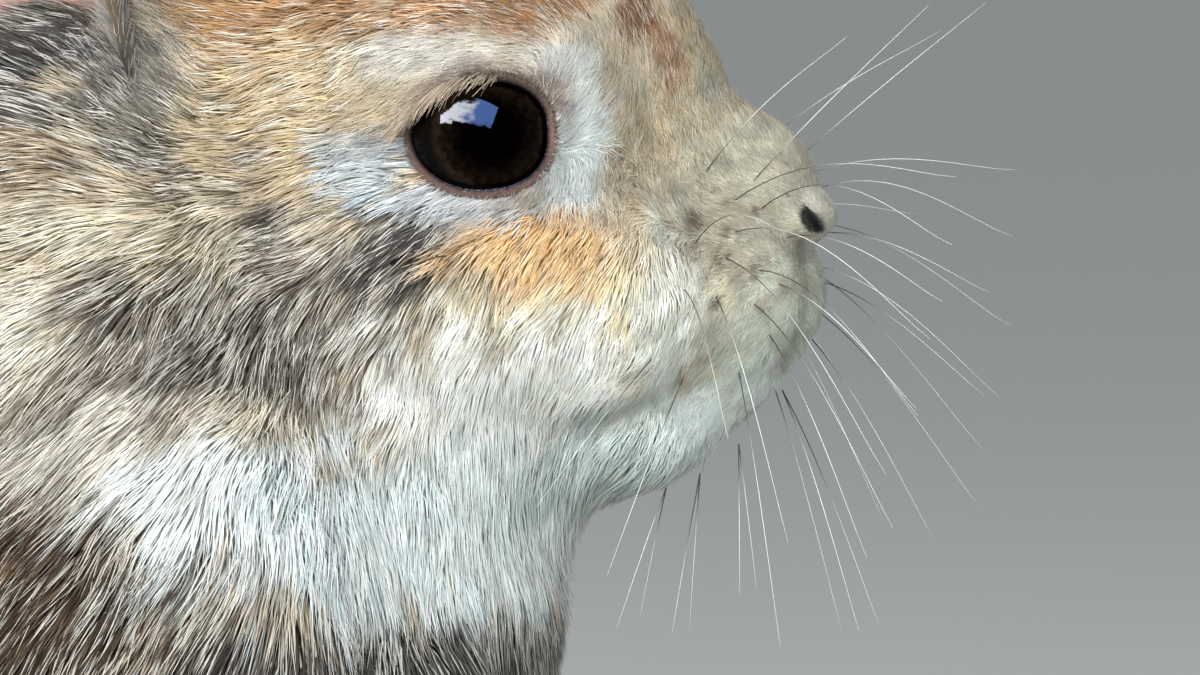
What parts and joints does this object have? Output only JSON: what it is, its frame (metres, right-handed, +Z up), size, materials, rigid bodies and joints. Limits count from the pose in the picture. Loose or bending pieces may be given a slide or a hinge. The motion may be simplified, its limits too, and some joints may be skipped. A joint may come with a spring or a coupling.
{
  "type": "rabbit",
  "caption": "Young dwarf rabbit crouching on all fours with upright ears, a still life-size model resting on its feet.",
  "frame": {"origin": "on the ground, under the middle of the rabbit's length and width", "axes": "+X towards the nose, +Y to the rabbit's left, +Z up"},
  "size_m": [0.2226, 0.1056, 0.1514],
  "materials": {
    "coat_sand": "soft short fur",
    "coat_agouti": "soft banded fur",
    "coat_white": "soft fluffy fur",
    "ear_grey": "very short fur over thin skin",
    "eye": "wet gloss",
    "whisker": "smooth horn of a single thick hair"
  },
  "bodies": {
    "root": {"head": "coat_sand", "ear_left": "ear_grey", "ear_right": "ear_grey", "eye_left": "eye", "eye_right": "eye", "neck": "coat_agouti", "trunk": "coat_agouti", "tail": "coat_white", "foreleg_left": "coat_agouti", "foreleg_right": "coat_agouti", "forefoot_left": "coat_sand", "forefoot_right": "coat_sand", "hindleg_left": "coat_agouti", "hindleg_right": "coat_agouti", "hindfoot_left": "coat_sand", "hindfoot_right": "coat_sand", "whisker_upper_left": "whisker", "whisker_middle_left": "whisker", "whisker_lower_left": "whisker", "whisker_upper_right": "whisker", "whisker_middle_right": "whisker", "whisker_lower_right": "whisker"}
  },
  "joints": []
}
